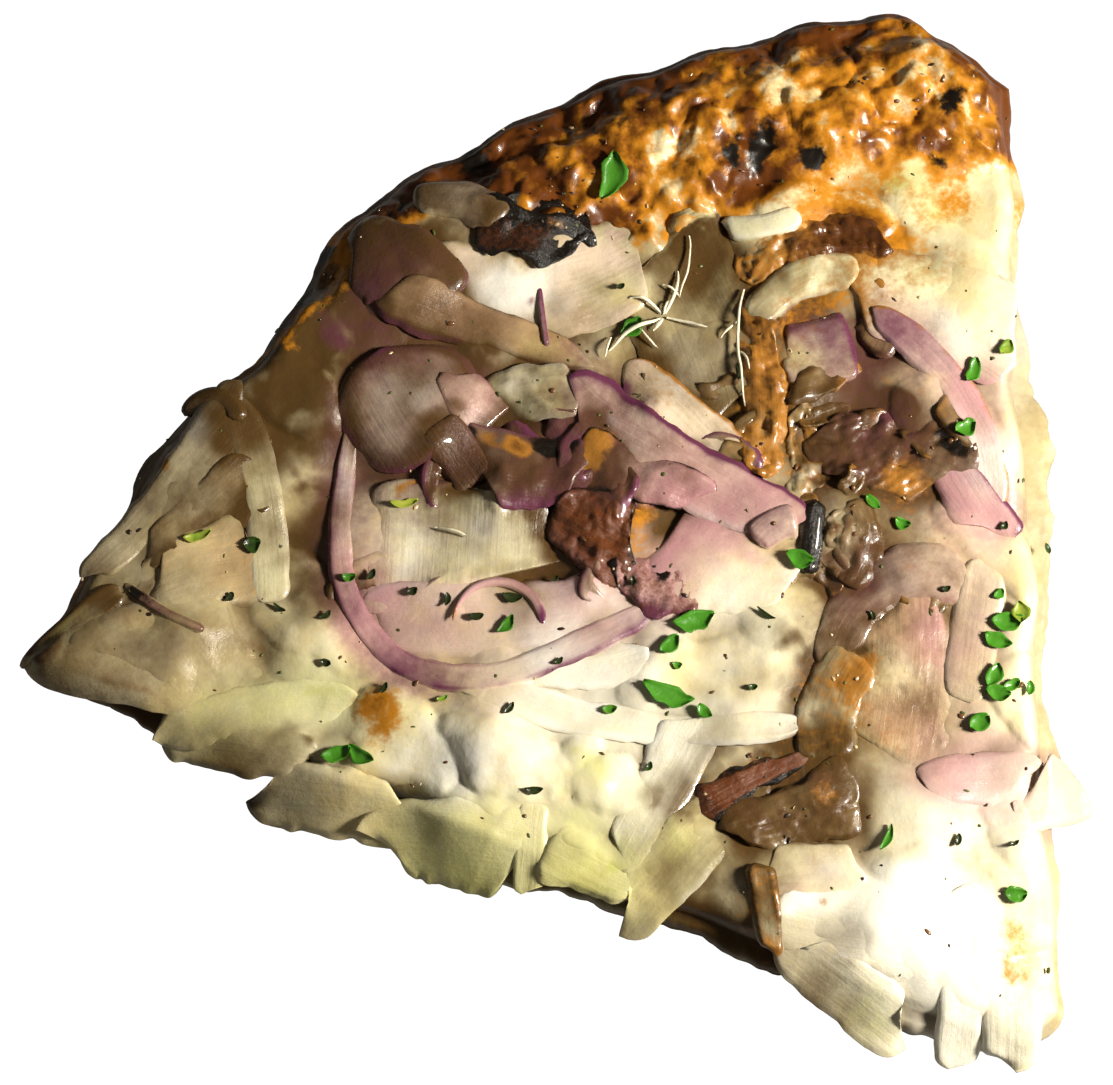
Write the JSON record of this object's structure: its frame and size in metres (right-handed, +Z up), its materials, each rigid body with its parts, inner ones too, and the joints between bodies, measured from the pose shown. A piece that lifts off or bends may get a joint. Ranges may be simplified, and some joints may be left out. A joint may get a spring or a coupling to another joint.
{
  "type": "fugazzeta slice",
  "caption": "Wedge of thick fugazzeta pizza: baked dough under a layer of melted cheese browned along the rim, covered with slices, rings and charred pieces of onion",
  "frame": {"origin": "on the flat underside, on the slice's centre line, 100 mm from the tip", "axes": "+X across the slice, its longest extent; +Y from the tip towards the browned rim; +Z up out of the topping"},
  "size_m": [0.1764, 0.1634, 0.0251],
  "materials": {
    "dough": "matte",
    "cheese": "glossy",
    "onion_pale": "glossy",
    "onion_red": "glossy",
    "onion_browned": "glossy",
    "onion_charred": "glossy",
    "herb": "matte"
  },
  "bodies": {
    "root": {"charred_band": "onion_charred", "charred_low_petal": "onion_charred", "charred_low_strip": "onion_charred", "charred_lump": "onion_charred", "charred_middle": "onion_charred", "charred_purple": "onion_charred", "charred_red": "onion_charred", "charred_top_strip": "onion_charred", "charred_top_tuft": "onion_charred", "cheese": "cheese", "dough": "dough", "onion_brown_arch": "onion_browned", "onion_brown_hang": "onion_browned", "onion_brown_ridge": "onion_browned", "onion_brown_tip": "onion_browned", "onion_clear_blob": "onion_pale", "onion_corner_fold": "onion_pale", "onion_corner_gold": "onion_browned", "onion_corner_grey": "onion_pale", "onion_corner_slice": "onion_browned", "onion_corner_tan": "onion_browned", "onion_crescent": "onion_pale", "onion_diagonal_a": "onion_pale", "onion_diagonal_b": "onion_pale", "onion_fold_grey": "onion_pale", "onion_fold_low": "onion_pale", "onion_fold_side": "onion_pale", "onion_green_lump": "onion_pale", "onion_green_side": "onion_pale", "onion_green_strip": "onion_pale", "onion_ivory_inner": "onion_pale", "onion_left_strip": "onion_pale", "onion_lobe_pink": "onion_red", "onion_lobe_purple": "onion_red", "onion_lobe_top_left": "onion_red", "onion_low_grey": "onion_pale", "onion_low_tan": "onion_browned", "onion_mauve_long": "onion_red", "onion_mauve_petal": "onion_red", "onion_mauve_right": "onion_red", "onion_olive_panel": "onion_pale", "onion_peach": "onion_red", "onion_peach_right": "onion_red", "onion_petal_top": "onion_red", "onion_pink_middle": "onion_red", "onion_pink_right": "onion_red", "onion_ring_big": "onion_red", "onion_ring_floor": "onion_red", "onion_ring_lower": "onion_red", "onion_ring_right": "onion_red", "onion_ring_small": "onion_red", "onion_strip_low": "onion_pale", "onion_tan_low": "onion_browned", "onion_tan_strip": "onion_browned", "onion_tip_side": "onion_pale", "onion_tip_strip": "onion_pale", "onion_white_bean": "onion_pale", "onion_white_chunk": "onion_pale", "onion_white_low": "onion_pale", "onion_white_middle": "onion_pale"}
  },
  "joints": []
}
